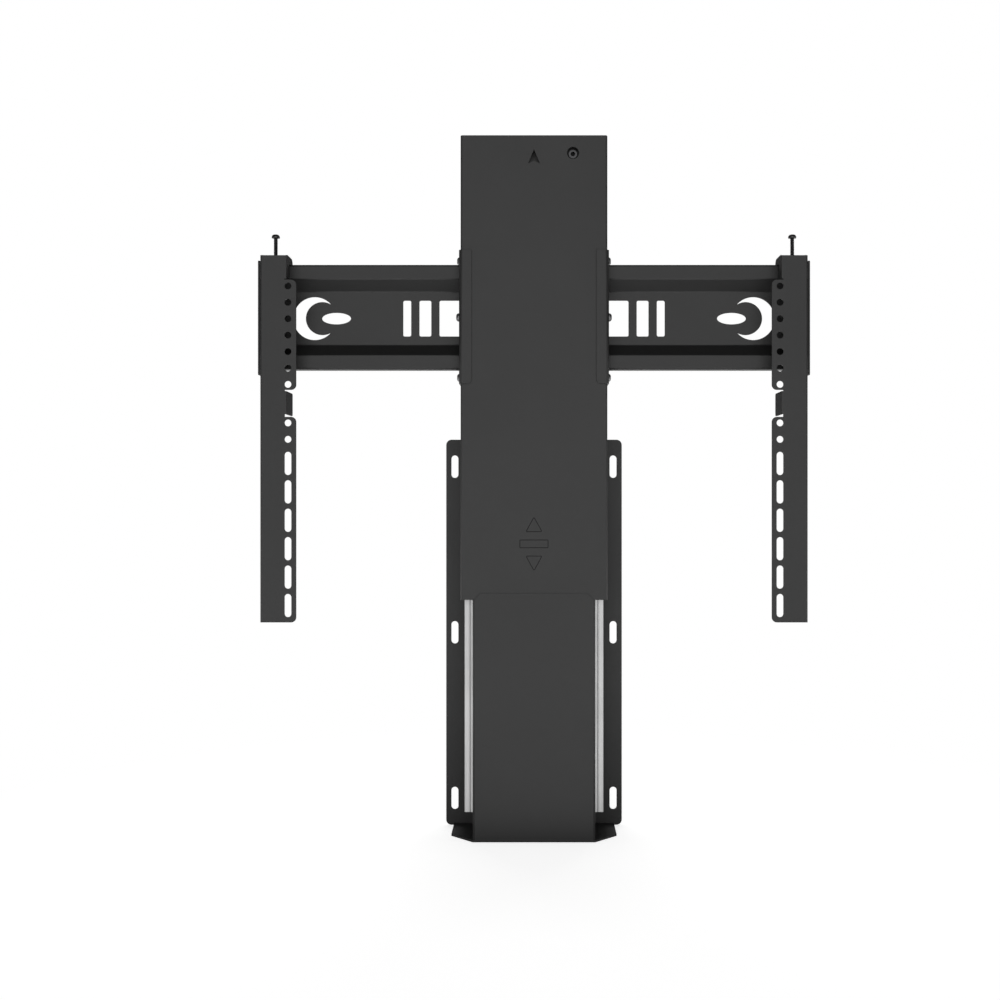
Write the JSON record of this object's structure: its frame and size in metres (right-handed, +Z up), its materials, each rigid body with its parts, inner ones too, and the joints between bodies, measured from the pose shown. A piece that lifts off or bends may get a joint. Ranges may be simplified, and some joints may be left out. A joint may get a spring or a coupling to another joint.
{
  "type": "tv lift mechanism",
  "caption": "Motorised television lift: a sliding shell over a fixed column, with a crossbar and two hooked arms, raised by a screw actuator.",
  "frame": {"origin": "on the floor under the middle of the lift's width and depth", "axes": "+Z up, +Y towards the wall, +X to the right seen from the television's side"},
  "size_m": [0.683, 0.1054, 0.867],
  "materials": {
    "powder_coat": "fine matte black-grey powder coat on sheet steel",
    "rail_aluminium": "satin natural anodised extrusion with fine lengthwise lines",
    "black_screw": "black oxide steel, slightly glossy",
    "zinc_steel": "bright zinc-plated steel",
    "bright_tube": "ground and plated tube",
    "white_acetal": "natural white acetal",
    "bronze": "sintered bronze",
    "cast_alloy": "die-cast alloy, matte",
    "motor_metal": "plated steel can",
    "black_plastic": "textured black moulding",
    "green_board": "solder-masked circuit board"
  },
  "bodies": {
    "base": {"back_plate": "powder_coat", "circuit_board": "green_board", "column_cover": "powder_coat", "column_frame": "powder_coat", "control_box": "black_plastic", "control_lid": "black_plastic", "control_screws": "zinc_steel", "cover_screws": "black_screw", "foot_bracket": "powder_coat", "foot_pin": "zinc_steel", "foot_plate": "powder_coat", "foot_screws": "zinc_steel", "frame_rivets": "zinc_steel", "gearbox_housing": "cast_alloy", "gearbox_lid": "cast_alloy", "gearbox_screws": "zinc_steel", "gearhead": "motor_metal", "motor_can": "motor_metal", "motor_cap": "black_plastic", "outer_tube": "zinc_steel", "rail_left": "rail_aluminium", "rail_right": "rail_aluminium", "rail_screws": "zinc_steel", "screw_bearing": "zinc_steel", "screw_bush": "bronze", "strap_screws": "zinc_steel", "tube_bush": "white_acetal", "tube_saddle": "cast_alloy", "tube_strap": "zinc_steel"},
    "carriage": {"moving_shell": "powder_coat", "head_bracket": "powder_coat", "top_screws": "black_screw", "access_screw": "black_screw", "access_nut": "zinc_steel", "rod_end": "zinc_steel", "head_pin": "zinc_steel", "push_tube": "bright_tube", "spindle_nut": "white_acetal", "glide_lower_left": "white_acetal", "glide_lower_right": "white_acetal", "glide_upper_left": "white_acetal", "glide_upper_right": "white_acetal", "crossbar_bracket_left": "powder_coat", "crossbar_bracket_right": "powder_coat", "crossbar_left": "powder_coat", "crossbar_right": "powder_coat", "end_plate_left": "powder_coat", "end_plate_right": "powder_coat", "bracket_screws": "black_screw", "press_nuts": "zinc_steel"},
    "left_arm": {"tv_arm_left": "powder_coat", "levelling_nut_left": "zinc_steel"},
    "right_arm": {"tv_arm_right": "powder_coat", "levelling_nut_right": "zinc_steel"},
    "left_levelling_screw": {"levelling_screw_left": "black_screw"},
    "right_levelling_screw": {"levelling_screw_right": "black_screw"},
    "screw_shaft": {"lead_screw": "zinc_steel", "drive_gear": "white_acetal"},
    "pinion_shaft": {"motor_pinion": "zinc_steel"}
  },
  "joints": [
    {"name": "lift", "type": "slide", "parent": "base", "child": "carriage", "axis": [0, 0, 1], "range_m": [-0.265, 0]},
    {"name": "left_arm_slide", "type": "slide", "parent": "carriage", "child": "left_arm", "axis": [1, 0, 0], "range_m": [-0.005, 0.2]},
    {"name": "right_arm_slide", "type": "slide", "parent": "carriage", "child": "right_arm", "axis": [-1, 0, 0], "range_m": [-0.005, 0.2]},
    {"name": "left_levelling", "type": "slide", "parent": "left_arm", "child": "left_levelling_screw", "axis": [0, 0, 1], "range_m": [0, 0.006]},
    {"name": "right_levelling", "type": "slide", "parent": "right_arm", "child": "right_levelling_screw", "axis": [0, 0, 1], "range_m": [0, 0.006]},
    {"name": "lead_screw_spin", "type": "hinge", "parent": "base", "child": "screw_shaft", "pos_m": [0, 0.00425, 0.05], "axis": [0, 0, 1], "range_deg": [0, 7951]},
    {"name": "pinion_spin", "type": "hinge", "parent": "base", "child": "pinion_shaft", "pos_m": [0.042, 0.00425, 0.05], "axis": [0, 0, 1], "range_deg": [-23853, 0]}
  ],
  "couplings": [
    {"joint": "lead_screw_spin", "follows": "lift", "rad_per_m": -523.6},
    {"joint": "pinion_spin", "follows": "lift", "rad_per_m": 1570.8}
  ]
}
